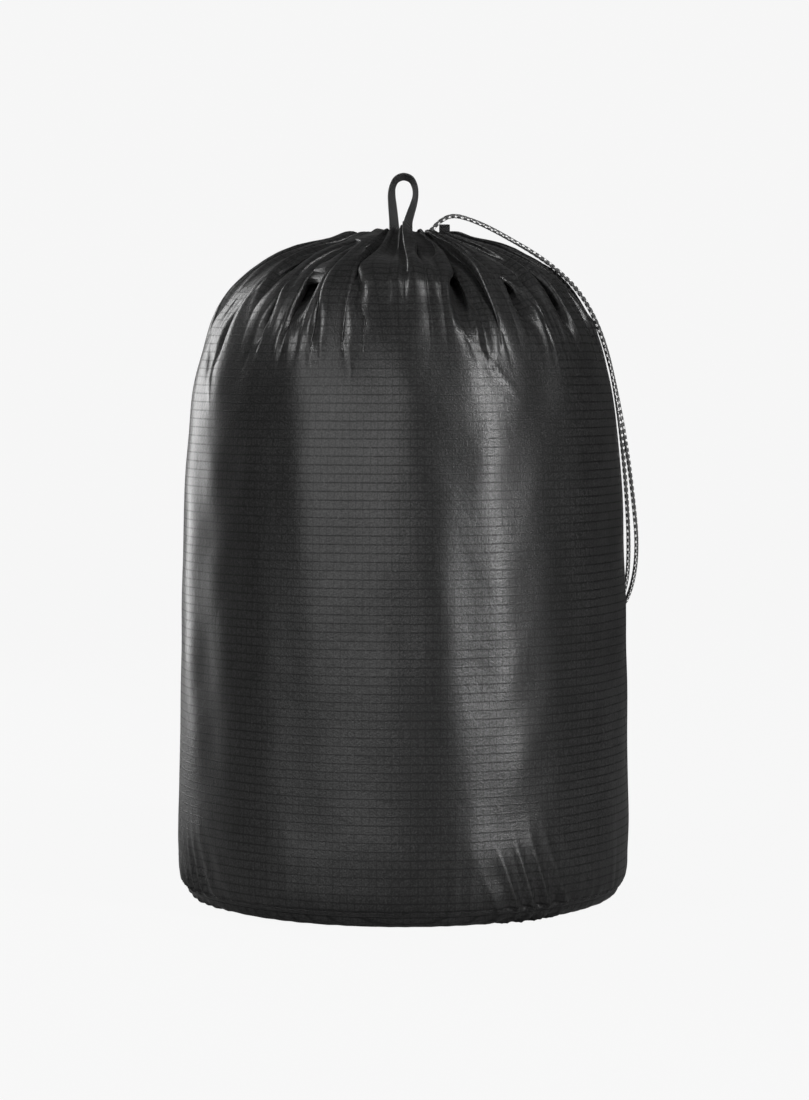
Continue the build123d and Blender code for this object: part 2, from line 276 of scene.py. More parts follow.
def add_bump(nodes, links, shader, height, strength, distance):
    """A Bump node from a height in 0..1 into the shader's Normal."""
    bump = nodes.new("ShaderNodeBump")
    bump.inputs["Strength"].default_value = strength
    bump.inputs["Distance"].default_value = distance
    links.new(height, bump.inputs["Height"])
    links.new(bump.outputs["Normal"], shader.inputs["Normal"])


def cord_material():
    """Grey braid. Two rows of pale flecks lie on opposite sides, half a pitch apart, and turn
    slowly round the cord, and glow faintly: a painted glint for their reflective shine. The
    yarns are painted darker where they dive under each other, a painted shade in the braid's hollows."""
    material, nodes, links, shader = new_material("flecked_braid")
    work = partial(math_node, nodes, links)
    coords = nodes.new("ShaderNodeTexCoord")
    split = nodes.new("ShaderNodeSeparateXYZ")
    links.new(coords.outputs["UV"], split.inputs[0])
    around, along = split.outputs[0], split.outputs[1]
    half_turns = work("MULTIPLY", around, 4.0)
    steps = work("DIVIDE", along, BRAID_PITCH / 4)
    right = work("PINGPONG", work("SUBTRACT", half_turns, steps), 0.5)
    left = work("PINGPONG", work("ADD", half_turns, steps), 0.5)
    yarn = work("MULTIPLY", work("MAXIMUM", right, left), 2.0)
    patches, fibres = add_textile_noise(nodes, links, coords.outputs["Object"], 900.0, 4200.0)
    # The yarns' colour is painted darker where they dive under each other: painted shade in the hollows of the
    # braid.
    grey = work("MULTIPLY_ADD", yarn, 0.5, work("MULTIPLY", fibres, 0.5))
    base = colour_ramp(nodes, links, grey, ((0.25, 0.020), (0.6, 0.10), (0.9, 0.24)))
    slow = work("MULTIPLY_ADD", along, 9.0, work("MULTIPLY", around, 3.0))
    brick = work("MULTIPLY", work("FLOOR", slow), 0.5)
    row = work("MULTIPLY_ADD", along, 1 / FLECK_PITCH, brick)
    cell = work("ABSOLUTE", work("SUBTRACT", work("FRACT", row), 0.5))
    lane = work("ABSOLUTE", work("SUBTRACT", work("FRACT", slow), 0.5))
    spot = work("SQRT", work("ADD",
                     work("POWER", work("MULTIPLY", cell, 4.6), 2.0),
                     work("POWER", work("MULTIPLY", lane, 3.6), 2.0)))
    fleck_and_glow = work("MULTIPLY_ADD", spot, -4.0, 4.4, clamp=True)
    mix = nodes.new("ShaderNodeMix")
    mix.data_type = "RGBA"
    links.new(fleck_and_glow, mix.inputs["Factor"])
    links.new(base, mix.inputs["A"])
    mix.inputs["B"].default_value = (0.93, 0.93, 0.92, 1)
    links.new(mix.outputs["Result"], shader.inputs["Base Color"])
    # The flecks glow faintly through Emission: a painted glint standing in for the shine of the reflective tracer
    # yarns.
    links.new(colour_ramp(nodes, links, fleck_and_glow, ((0.0, 0.0), (1.0, 0.30))), shader.inputs["Emission Color"])
    shader.inputs["Emission Strength"].default_value = 1.0
    shader.inputs["Roughness"].default_value = 0.62
    shader.inputs["Sheen Weight"].default_value = 0.15
    add_bump(nodes, links, shader, grey, 0.5, 0.0002)
    return material


cord_finish = cord_material()

strands = []
for piece_name, route in (("drawcord_front_end", STRAND_FRONT), ("drawcord_rear_end", STRAND_REAR)):
    strand, strand_line, strand_length = braided_cord(piece_name, route)
    strand.data.materials.append(cord_finish)
    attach(strand, "root")
    strands.append((strand, strand_line, strand_length, route))

# The middle of the cord, which the hem holds: along the straight stretch through the lock, round
# a small turn, round the mouth and back the same way.
HELD_HALF = np.array([
    (3.6, 1.35, 365.6), (-0.5, 1.35, 365.6), (-4.8, 1.35, 365.6), (-9.2, 1.35, 365.6),
    (-13.6, 1.9, 365.6), (-17.0, 5.2, 365.6), (-17.9, 9.4, 365.6), (-16.2, 13.2, 365.6),
    (-12.0, 17.1, 365.6), (-5.4, 20.2, 365.6), (1.8, 20.8, 365.6), (8.8, 18.9, 365.6),
    (14.8, 14.8, 365.6), (18.9, 8.8, 365.6), (20.8, 2.9, 365.6),
]) * 0.001
held_route = np.concatenate([HELD_HALF, (HELD_HALF * (1, -1, 1))[::-1]])
held_cord = braided_cord("drawcord_in_hem", held_route)[0]
held_cord.data.materials.append(cord_finish)
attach(held_cord, "root")
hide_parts("drawcord_in_tunnel")

# The knot: both ends go once round themselves in an overhand knot and stick out below it.
KNOT_AT = np.array([0.1059, 0.0769, 0.1226])
KNOT_SIZE = np.array([0.00125, 0.00125, 0.00115])


def knot_line(shift):
    """One cord's way through an overhand knot: a trefoil, x = sin t + 2 sin 2t, y = cos t - 2 cos 2t,
    z = -sin 3t, cut open. The lead in from above and the short end below are added where it is used."""
    t = np.linspace(0.9, TURN - 0.55, 140)
    loop = np.stack([np.sin(t) + 2 * np.sin(2 * t), -1.25 * np.sin(3 * t), np.cos(t) - 2 * np.cos(2 * t)], 1)
    return KNOT_AT + loop * KNOT_SIZE + shift


knot_pieces = []
for i, (strand, strand_line, strand_length, route) in enumerate(strands):
    shift = np.array([0.0009, 0.0010, 0.0]) * (2 * i - 1)
    loop = knot_line(shift * 0.9)
    lead = strand_line[-1]
    inward = np.linspace(0, 1, 12)[:-1, None]
    entry = lead + (loop[0] - lead) * inward
    tail_end = loop[-1] + np.array([-0.0012 - 0.0016 * i, 0.0030, -0.0115 - 0.0012 * i])
    outward = np.linspace(0, 1, 40)[1:, None]
    leave_line = loop[-1] + (tail_end - loop[-1]) * outward
    whole = np.concatenate([entry, loop, leave_line])
    kernel = np.ones(9) / 9
    padded = np.pad(whole, ((4, 4), (0, 0)), mode="edge")
    smooth = np.stack([np.convolve(padded[:, k], kernel, "valid") for k in range(3)], 1)
    knot_piece, _, _ = braided_cord(f"knot_cord_{i + 1}", smooth, smooth_route=False)
    knot_piece.data.materials.append(cord_finish)
    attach(knot_piece, "root")
    knot_pieces.append(knot_piece)
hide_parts("drawcord_knot")

for (strand, strand_line, strand_length, route), node, knots in zip(
        strands, ("drawcord_strand_front", "drawcord_strand_rear"), (knot_pieces[:1], knot_pieces[1:])):
    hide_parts(node)


# ---------------------------------------------------------------- side panel
# One rectangle of coated ripstop, 0.79 m round. It stands as a tube filled by its load; above
# the shoulder its excess is gathered into pleats that deepen towards the mouth.
CLOTH_ROUND = 0.788
SEAM_U = CLOTH_ROUND / 2
GATHER_FROM = 0.272
PANEL_COLUMNS = 869
SIDE_OUTLINE = np.array([
    (122.3, 6.2), (124.9, 13), (126.0, 28), (125.4, 62), (124.4, 108), (123.0, 186), (120.1, 254),
    (114.8, 293), (103.4, 326.3), (84.4, 348.6), (59.8, 362), (40.0, 367.6), (29.5, 370.6),
    (26.2, 370.0), (25.0, 366.4), (24.9, 362.6),
]) * 0.001


def smooth_line(knots, values, at):
    """Cubic Hermite pieces through values at knots, with central differences as slopes."""
    slopes = np.gradient(values, knots, axis=0)
    k = np.clip(np.searchsorted(knots, at, side="right") - 1, 0, len(knots) - 2)
    span = knots[k + 1] - knots[k]
    t = (at - knots[k]) / span
    shape = (-1,) + (1,) * (values.ndim - 1)
    t = t.reshape(shape)
    span = span.reshape(shape)
    return ((1 + 2 * t) * (1 - t) ** 2 * values[k] + t * (1 - t) ** 2 * span * slopes[k]
            + t ** 2 * (3 - 2 * t) * values[k + 1] - t ** 2 * (1 - t) * span * slopes[k + 1])


def bell(distance, width):
    """The Gaussian exp(-(distance / width) ** 2)."""
    return np.exp(-(distance / width) ** 2)


def about_axis(radius, azimuth, level):
    """Points at a radius, azimuth and height about the sack's axis; azimuth 0 faces the front."""
    return np.stack([radius * np.sin(azimuth), -radius * np.cos(azimuth), level], -1)


def step_up(value, low, high):
    """0 below low, 1 above high, and a smooth S between them."""
    t = np.clip((value - low) / (high - low), 0, 1)
    return t * t * (3 - 2 * t)


outline_run = run_lengths(SIDE_OUTLINE)
MERIDIAN = outline_run[-1]
row_s = np.concatenate([np.linspace(0, 0.012, 17), np.linspace(0.0145, 0.04, 9),
                        np.linspace(0.046, 0.262, 26), np.linspace(0.2665, MERIDIAN, 70)])
outline = smooth_line(outline_run, SIDE_OUTLINE, row_s)
dense_s = np.linspace(0, MERIDIAN, 1200)
dense = smooth_line(outline_run, SIDE_OUTLINE, dense_s)
dense_tangent = unit(np.gradient(dense, dense_s, axis=0))
outline_tangent = np.stack([np.interp(row_s, dense_s, dense_tangent[:, k]) for k in range(2)], 1)
outline_normal = np.stack([outline_tangent[:, 1], -outline_tangent[:, 0]], 1)

# Pleats, each with its azimuth in degrees (0 faces the front, + to the right) low down, half way
# and at the mouth, where it begins up the panel, its half width at the mouth in mm, its strength
# and how far it leans under its right-hand neighbour.
PLEATS = [
    (-64, -50, -38, 282, 10, 1.0, 0.5), (-46, -40, -31, 288, 6, 0.8, -0.5),
    (-34, -36, -26, 298, 11, 1.15, -0.5), (-25, -30, -22, 286, 7, 0.6, 0.2),
    (-15, -25, -18, 286, 7, 0.6, 0.3), (-9, -19, -14, 312, 8, 1.0, 0.5),
    (-12, -16, -10, 332, 7, 0.9, -0.4), (-3, -5, -7, 346, 11, 0.6, 0.3),
    (9, 8, 5, 348, 10, 0.6, -0.3), (19, 16, 12, 300, 12, 1.2, 0.6),
    (24, 24, 19, 284, 8, 0.65, -0.2), (27, 31, 25, 292, 6, 0.7, 0.4),
    (41, 37, 33, 300, 11, 1.1, -0.5), (48, 46, 41, 322, 7, 0.8, 0.3),
    (57, 55, 50, 290, 11, 1.0, 0.5), (73, 69, 61, 292, 10, 1.0, -0.3),
]
luck = np.random.default_rng(11)
BACK_PLEATS = 13
for i in range(BACK_PLEATS):
    place = 88 + (360 - 88 - 78) * i / (BACK_PLEATS - 1) + luck.uniform(-4, 4)
    place = place - 360 if place > 180 else place
    twist = luck.uniform(-7, 7)
    PLEATS.append((place, place + twist * 0.4, place + twist, luck.uniform(280, 312),
                   luck.uniform(8, 12), luck.uniform(0.7, 1.15), luck.uniform(-0.6, 0.6)))
for place in np.arange(-76, 100, 7.5):
    place = place + luck.uniform(-2.5, 2.5)
    PLEATS.append((place, place * 0.98, place * 0.9 + luck.uniform(-1.5, 1.5), luck.uniform(318, 372),
                   luck.uniform(3.2, 5.0), luck.uniform(0.5, 0.9), luck.uniform(-0.5, 0.5)))
PLEATS.sort(key=lambda pleat: pleat[0])
pleats = np.array(PLEATS)
low_az, mid_az, rim_az = pleats[:, 0], pleats[:, 1], pleats[:, 2]
begin = pleats[:, 3] * 0.001
half_width = pleats[:, 4] * 0.001
strength, lean = pleats[:, 5], pleats[:, 6]
pleat_u = (low_az % 360) / 360 * CLOTH_ROUND
order = np.argsort(pleat_u)
pleat_u, low_az, mid_az, rim_az = pleat_u[order], low_az[order], mid_az[order], rim_az[order]
begin, half_width, strength, lean = begin[order], half_width[order], strength[order], lean[order]


def pleat_columns():
    """Places across the cloth for the mesh's columns: close together in the pleats and wide
    apart between them, from a density that is summed and cut into equal shares."""
    fine = np.linspace(0, CLOTH_ROUND, 8001)
    gap = (fine[:, None] - pleat_u[None] + CLOTH_ROUND / 2) % CLOTH_ROUND - CLOTH_ROUND / 2
    density = 1.0 + 1.1 * np.exp(-(gap / (0.9 * half_width)) ** 4).sum(1).clip(0, 1.2)
    share = np.r_[0, np.cumsum((density[1:] + density[:-1]) / 2)]
    return np.interp(np.linspace(0, share[-1], PANEL_COLUMNS), share, fine)


column_u = pleat_columns()


def ring_offset(u, centre):
    """Signed distance round the cloth from centre to u, the short way."""
    return (u - centre + CLOTH_ROUND / 2) % CLOTH_ROUND - CLOTH_ROUND / 2


def gathered_rows(u, s, radius):
    """Where the cloth lies in each row, as azimuth and as height above the smooth wall.
    The cloth's direction in a row swings by strength * sin(pi t) across each pleat, so summing
    the cosine and the sine of that direction gives a fold that keeps the cloth's length. Each
    stretch between two pleat centres is then fitted to the azimuths that the pleats have."""
    s_col = s[:, None]
    rise = step_up(s_col, GATHER_FROM, 0.36)
    direction = np.zeros((len(s), len(u)))
    bottoms = np.zeros_like(direction)
    for centre, start, width, power, slant in zip(pleat_u, begin, half_width, strength, lean):
        grown = step_up(s_col, start, start + 0.05)
        wide = width * (0.6 + 0.4 * rise)
        t = ring_offset(u[None], centre) / wide
        inside = np.abs(t) < 1
        wave = np.sin(np.pi * np.clip(t, -1, 1))
        swing = np.where(inside, np.sign(wave) * np.abs(wave) ** 0.65, 0)
        direction += 1.95 * power ** 0.5 * grown * (0.45 + 0.55 * rise) * swing
        bottoms += slant * grown * np.where(inside, np.cos(np.pi * np.clip(t, -1, 1) / 2) ** 2, 0)
    step = np.diff(u)[None]
    middle = (direction[:, 1:] + direction[:, :-1]) / 2
    x = np.concatenate([np.zeros((len(s), 1)), np.cumsum(np.cos(middle) * step, 1)], 1)
    h = np.concatenate([np.zeros((len(s), 1)), np.cumsum(np.sin(middle) * step, 1)], 1)
    h -= h[:, -1:] * (u / CLOTH_ROUND)[None]
    azimuth = np.empty_like(x)
    t_mid = step_up(s_col, 0.285, 0.352)
    t_rim = step_up(s_col, 0.345, 0.402)
    wanted = low_az + (mid_az - low_az) * t_mid + (rim_az - mid_az) * t_rim
    base = np.where(low_az < 0, low_az + 360, low_az)
    wanted = base + (wanted - low_az)
    for i in range(len(s)):
        at = np.interp(pleat_u, u, x[i])
        lengths = np.r_[at[-1] - x[i, -1], at, at[0] + x[i, -1]]
        targets = np.r_[wanted[i, -1] - 360, wanted[i], wanted[i, 0] + 360]
        azimuth[i] = np.interp(x[i], lengths, targets)
    scale = TURN * radius / np.maximum(x[:, -1], 1e-6)
    h *= np.clip(scale, 0.3, 1.0)[:, None]
    around = np.pad(h[:, :-1], ((0, 0), (45, 45)), mode="wrap")
    crests = np.lib.stride_tricks.sliding_window_view(around, 61, axis=1).max(-1)
    level = np.lib.stride_tricks.sliding_window_view(crests, 31, axis=1).mean(-1)
    h -= np.c_[level, level[:, :1]]
    lean_shift = -bottoms * h / np.maximum(radius, 0.01)[:, None]
    return np.radians(azimuth) + lean_shift * 0.9, h


azimuth, height = gathered_rows(column_u, row_s, outline[:, 0])


def slack_waves(u, s):
    """Broad shallow waves of a filled cloth: a few sines round the sack that drift slowly with
    height, fading at the base seam and in the gathers."""
    turns = TURN * u / CLOTH_ROUND
    waves = (0.55 * np.sin(5 * turns + 0.6 + 2.0 * s / 0.3) + 0.45 * np.sin(9 * turns + 2.1 - 3.1 * s / 0.3)
             + 0.30 * np.sin(14 * turns + 4.0 + 4.4 * s / 0.3)
             + 0.18 * np.sin(23 * turns + 1.0 + 6.0 * s / 0.3))
    bands = 0.22 * np.sin(TURN * s / 0.085 + 2 * np.sin(2 * turns)) * (0.5 + 0.5 * np.sin(3 * turns + 1.0))
    seam = 1 - bell(ring_offset(u, SEAM_U), 0.018)
    return 0.001 * (waves + bands) * seam * step_up(s, 0.0, 0.06) * (1 - 0.6 * step_up(s, 0.3, 0.37))


def base_puckers(u, s):
    """Small gathers where the panel is sewn to its base, dying out a few centimetres up."""
    turns = TURN * u / CLOTH_ROUND
    fine = (np.sin(61 * turns + 1.3 * np.sin(7 * turns))
            + 0.7 * np.sin(83 * turns + 2 * np.sin(5 * turns) + 1)
            + 0.5 * np.sin(37 * turns + 3))
    patchy = 0.45 + 0.55 * np.sin(4 * turns + 0.4) ** 2
    folds = (2.1 * bell(ring_offset(u, 0.076), 0.024) + 1.3 * bell(ring_offset(u, -0.150), 0.03)
             + 0.8 * bell(ring_offset(u, 0.26), 0.05) + 0.8 * bell(ring_offset(u, -0.30), 0.06))
    slanted = 1 - 2 * np.abs(np.sin(31 * turns + 110 * s + 0.8 * np.sin(11 * turns)))
    return (0.00028 * fine * patchy * np.exp(-s / 0.016)
            + 0.0011 * slanted * folds * bell(s, 0.028)) * step_up(s, 0.0, 0.004)


BASE_ROW_S = 0.0034


def seam_groove(s):
    """The cloth turns in at the base seam, dips under the row of stitches and stands a little
    proud over the sewn allowance."""
    sewn = -0.0006 * bell((s - BASE_ROW_S), 0.0009)
    return -0.0011 * bell(s, 0.0016) + 0.0003 * bell((s - 0.005), 0.003) + sewn


def side_seam_ridge(u, s):
    """The felled side seam at the back: four layers, 9 mm wide."""
    return 0.0004 * step_up(0.006 - np.abs(u - SEAM_U), 0.0, 0.0018)


def gather_streaks(u, s):
    """Creases in the gathered cloth: ridged waves (1 - 2 |sin|) that run up the cloth, wander
    sideways and come and go, sharp at their crests."""
    turns = TURN * u / CLOTH_ROUND
    wander = 1.3 * np.sin(4 * turns + 24 * s + 1.0) + 0.9 * np.sin(9 * turns - 37 * s + 4.0)
    total = np.zeros_like(u)
    for count, size, tilt, phase in ((37, 0.55, 14, 0.4), (53, 0.42, -19, 2.0),
                                     (71, 0.30, 27, 3.1), (97, 0.20, -33, 5.2)):
        presence = 0.5 + 0.5 * np.sin((count % 7 + 3) * turns + 31 * s + phase * 2)
        total += size * presence * (1 - 2 * np.abs(np.sin(count / 2 * turns + tilt * s + phase + wander)))
    start = 0.288 + 0.052 * bell(ring_offset(u, 0.003), 0.028) + 0.008 * np.sin(13 * turns)
    return 0.0012 * total * step_up(s, start, start + 0.045)


def tension_creases(u, s):
    """Short straight creases where a pleat runs out into the body. Each is a sharp-topped ridge,
    exp(-|across|) wide and a Gaussian long, slanted off the vertical."""
    total = np.zeros_like(u)
    draw = np.random.default_rng(5)
    for centre, start in zip(pleat_u, begin):
        for _ in range(2 if start < 0.315 else 1):
            at_u = centre + draw.uniform(-0.012, 0.012)
            at_s = start + draw.uniform(0.004, 0.028)
            slant = draw.uniform(-0.75, 0.75)
            long = draw.uniform(0.008, 0.018)
            wide = draw.uniform(0.0010, 0.0022)
            size = draw.uniform(0.0004, 0.0011) * draw.choice((-1, 1))
            du = ring_offset(u, at_u)
            ds = s - at_s
            along = ds * math.cos(slant) + du * math.sin(slant)
            across = du * math.cos(slant) - ds * math.sin(slant)
            total += size * np.exp(-np.abs(across) / wide) * bell(along, long)
    return total


def packed_lumps(u, s):
    """The load inside pushes the cloth out here and there: sines of 30 to 80 mm in both
    directions, less than half a millimetre high."""
    turns = TURN * u / CLOTH_ROUND
    lumps = (np.sin(11 * turns + 2.0 * np.sin(s / 0.04)) * np.sin(s / 0.011 + 1.5 * np.sin(6 * turns))
             + 0.8 * np.sin(19 * turns - s / 0.017 + 1.0) * np.sin(s / 0.023 + 2 * np.sin(4 * turns) + 0.7))
    seam = 1 - bell(ring_offset(u, SEAM_U), 0.014)
    return 0.00022 * lumps * seam * step_up(s, 0.01, 0.05)


uu, ss = np.meshgrid(column_u, row_s)


def panel_puff(u, s):
    """Cloth between two pleats stands out as a soft roll: a half sine between the pleat centres,
    highest on the shoulder."""
    k = np.searchsorted(pleat_u, u[0])
    before = np.r_[pleat_u[-1] - CLOTH_ROUND, pleat_u][k]
    after = np.r_[pleat_u, pleat_u[0] + CLOTH_ROUND][k]
    gap = after - before
    t = (u[0] - before) / gap
    roll = np.sin(np.pi * np.clip(t, 0, 1)) ** 0.8
    rise = step_up(s[:, :1], 0.290, 0.345) * (1 - 0.75 * step_up(s[:, :1], 0.372, 0.402))
    return (np.minimum(0.085 * gap, 0.0042)[None] * roll[None] - 0.0012) * rise


height = height + slack_waves(uu, ss) + base_puckers(uu, ss) + seam_groove(ss) + side_seam_ridge(uu, ss)
height = height + panel_puff(uu, ss) + gather_streaks(uu, ss) + tension_creases(uu, ss) + packed_lumps(uu, ss)

# The front of the mouth stands up in a soft peak that hides the foot of the loop.
FRONT_PEAK = 0.0062
LEFT_PEAK = 0.0016
FRONT_ROLL = 0.0034
azimuth_deg = np.degrees(azimuth)
from_front = (azimuth_deg + 180) % 360 - 180
height = height + FRONT_PEAK * bell((from_front + 1.0), 10.0) * step_up(ss, 0.376, 0.400)
height = height + LEFT_PEAK * bell((from_front + 27), 6.0) * step_up(ss, 0.375, 0.397)
# Below it the cloth hangs over in a soft roll.
front_roll = np.exp(-((from_front - 1.0) / 15.0) ** 4)
height = height + FRONT_ROLL * front_roll * bell((ss - 0.343), np.where(ss < 0.343, 0.0085, 0.022))


def wall_places(azimuth, height):
    """Turns azimuth and height above the smooth wall into points: the outline's radius and
    height, moved along its normal, turned about the axis."""
    radius = outline[:, :1] + outline_normal[:, :1] * height
    level = outline[:, 1:] + outline_normal[:, 1:] * height
    return about_axis(radius, azimuth, level)


panel_places = wall_places(azimuth, height)
panel_uv = np.stack([uu, ss], -1)
side_panel = grid_mesh("side_panel_cloth", panel_places[:, :-1], panel_uv, around=True)


GRID_ACROSS, YARN_ACROSS = 0.00395, 0.00030
GRID_UP, YARN_UP = 0.0046, 0.00044
WEAVE_PITCH = 0.00044


def ripstop_group():
    """The ripstop grid on a UV in metres: thicker yarns every 4 mm across and 4.6 mm up. Gives
    the yarn mask and a plain weave height."""
    group = bpy.data.node_groups.new("ripstop_grid", "ShaderNodeTree")
    face = group.interface
    face.new_socket("UV", in_out="INPUT", socket_type="NodeSocketVector")
    face.new_socket("Yarns", in_out="OUTPUT", socket_type="NodeSocketFloat")
    face.new_socket("Weave", in_out="OUTPUT", socket_type="NodeSocketFloat")
    nodes, links = group.nodes, group.links
    work = partial(math_node, nodes, links)
    start = nodes.new("NodeGroupInput")
    end = nodes.new("NodeGroupOutput")
    split = nodes.new("ShaderNodeSeparateXYZ")
    links.new(start.outputs["UV"], split.inputs[0])
    lines = []
    for output, pitch, yarn in ((0, GRID_ACROSS, YARN_ACROSS), (1, GRID_UP, YARN_UP)):
        cell = work("PINGPONG", work("DIVIDE", split.outputs[output], pitch), 0.5)
        edge = yarn / pitch
        lines.append(work("MULTIPLY_ADD", cell, -1 / edge, 1.25, clamp=True))
    links.new(work("MAXIMUM", work("MULTIPLY", lines[0], 0.32), lines[1]),
              end.inputs["Yarns"])
    threads = []
    for output in (0, 1):
        turn = work("MULTIPLY", split.outputs[output], TURN / WEAVE_PITCH)
        threads.append(work("SINE", turn))
    links.new(work("MULTIPLY_ADD", work("MULTIPLY", threads[0], threads[1]), 0.5, 0.5),
              end.inputs["Weave"])
    return group


ripstop_grid = ripstop_group()


def ripstop_material(name):
    """Black coated nylon with a satin face. The grid's thicker yarns are a little greyer and
    rougher than the cloth, so they look dark in a highlight and pale in the shade. The coating
    is uneven, and fine creases run through it."""
    material, nodes, links, shader = new_material(name)
    work = partial(math_node, nodes, links)
    coords = nodes.new("ShaderNodeTexCoord")
    grid = nodes.new("ShaderNodeGroup")
    grid.node_tree = ripstop_grid
    links.new(coords.outputs["UV"], grid.inputs["UV"])
    patches, fibres = add_textile_noise(nodes, links, coords.outputs["Object"], 26.0, 1050.0)
    broken = work("MULTIPLY", grid.outputs["Yarns"],
                       work("MULTIPLY_ADD", fibres, 2.8, -0.75, clamp=True))
    tone = work("ADD", work("MULTIPLY", broken, 0.75),
                     work("MULTIPLY_ADD", patches, 0.15, work("MULTIPLY", fibres, 0.55)))
    blacks = colour_ramp(nodes, links, tone, ((0.20, 0.060), (0.42, 0.016), (0.80, 0.004)))
    links.new(blacks, shader.inputs["Base Color"])
    rough = work("MULTIPLY_ADD", broken, 0.22,
                      work("MULTIPLY_ADD", patches, 0.10, 0.25))
    links.new(rough, shader.inputs["Roughness"])
    shader.inputs["Specular IOR Level"].default_value = 0.62
    shader.inputs["Sheen Weight"].default_value = 0.06
    shader.inputs["Sheen Roughness"].default_value = 0.4
    wrinkle = nodes.new("ShaderNodeTexNoise")
    wrinkle.inputs["Scale"].default_value = 60.0
    wrinkle.inputs["Detail"].default_value = 2.5
    wrinkle.inputs["Roughness"].default_value = 0.6
    wrinkle.inputs["Distortion"].default_value = 0.6
    links.new(coords.outputs["Object"], wrinkle.inputs["Vector"])
    relief = work("ADD", work("MULTIPLY", grid.outputs["Yarns"], 0.10),
                       work("ADD", work("MULTIPLY", fibres, 0.40),
                                 work("MULTIPLY", wrinkle.outputs["Fac"], 0.9)))
    add_bump(nodes, links, shader, relief, 0.5, 0.0005)
    return material


cloth_finish = ripstop_material("ripstop_cloth")
side_panel.data.materials.append(cloth_finish)
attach(side_panel, "root")
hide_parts("side_panel", "gathered_top")


# ---------------------------------------------------------------- base panel
# A disc of the same ripstop, sewn edge to edge with the side panel. The load
# presses it flat on the floor and rounds its edge up to the seam.
BASE_COLUMNS = 481
BASE_OUTLINE = np.array([
    (0.6, 0.05), (40, 0.05), (80, 0.05), (108, 0.1), (114.5, 0.9), (119.2, 2.9), (122.2, 6.1),
]) * 0.001
base_run = run_lengths(BASE_OUTLINE)
base_s = np.concatenate([np.linspace(0, 0.104, 30), np.linspace(0.1065, base_run[-1], 18)])
base_rows = smooth_line(base_run, BASE_OUTLINE, base_s)
base_turn = np.linspace(0, TURN, BASE_COLUMNS)
bt, bs = np.meshgrid(base_turn, base_s)
from_seam = base_run[-1] - bs
cloth_u = bt / TURN * CLOTH_ROUND
lift = (0.7 * base_puckers(cloth_u, from_seam) * step_up(from_seam, 0.0, 0.003)
        - 0.0009 * bell(from_seam, 0.0016))
base_radius = base_rows[:, :1] + lift * 0.7
base_level = np.maximum(base_rows[:, 1:] - lift * 0.7, 0.00005)
base_places = about_axis(base_radius, bt, base_level + 0 * bt)
base_uv = base_places[..., :2].copy()
base_places = base_places[::-1]
base_uv = base_uv[::-1]
base_cloth = grid_mesh("base_panel_cloth", base_places[:, :-1], base_uv, around=True)
base_cloth.data.materials.append(cloth_finish)
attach(base_cloth, "root")
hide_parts("base_panel")


# ---------------------------------------------------------------- hem at the mouth
# The panel's top edge is folded over the cord and stitched, and the drawn cord scrunches it
# into a ring of tight radial pleats.
HEM_PLEATS = 46
HEM_COLUMNS = 921
HEM_FOLD_DEPTH = 0.0012
CORD_GAP_WIDTH = 0.62
CORD_GAP_LEVEL = 0.3618
HEM_OUTLINE = np.array([
    (24.2, 360.2), (24.6, 364.0), (23.6, 367.4), (21.4, 369.0), (18.6, 368.6), (16.6, 366.4), (16.0, 363.2),
    (13.6, 361.0), (10.4, 359.6), (8.0, 357.4), (7.4, 353.0),
]) * 0.001
hem_run = run_lengths(HEM_OUTLINE)
hem_s = np.linspace(0, hem_run[-1], 64)
hem_rows = smooth_line(hem_run, HEM_OUTLINE, hem_s)
hem_tangent = unit(np.gradient(hem_rows, hem_s, axis=0))
hem_normal = np.stack([hem_tangent[:, 1], -hem_tangent[:, 0]], 1)
hem_turn = np.linspace(0, TURN, HEM_COLUMNS)
ht, hs = np.meshgrid(hem_turn, hem_s)
fold_at = HEM_PLEATS * ht + 1.6 * np.sin(3 * ht + 0.5) + 1.2 * np.sin(7 * ht + 2) + 0.5 * np.sin(19 * ht)
fold_at = fold_at + 0.9 * np.sin(hs / 0.011 + 2 * np.sin(5 * ht))
fold = 1 - 2 * np.abs(np.sin(fold_at / 2)) ** 0.8
depth = HEM_FOLD_DEPTH * (0.75 + 0.35 * np.sin(11 * ht + 1) * np.sin(5 * ht))
hem_height = fold * depth * (0.55 + 0.45 * step_up(hs, 0.002, 0.01))
hem_sway = 0.035 * np.sin(fold_at)
hem_radius = hem_rows[:, :1] + hem_normal[:, :1] * hem_height
hem_level = hem_rows[:, 1:] + hem_normal[:, 1:] * hem_height
gap_to_side = (ht - 1.5 * math.pi) / CORD_GAP_WIDTH
notch = np.exp(-gap_to_side ** 4)
hem_level = hem_level * (1 - notch) + np.minimum(hem_level, CORD_GAP_LEVEL + 0.0006 * fold) * notch
hem_places = about_axis(hem_radius, ht + hem_sway, hem_level)
hem_uv = np.stack([ht / TURN * CLOTH_ROUND, hs], -1)
hem = grid_mesh("hem_cloth", hem_places[:, :-1], hem_uv, around=True)
hem.data.materials.append(cloth_finish)
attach(hem, "root")
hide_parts("drawcord_tunnel")


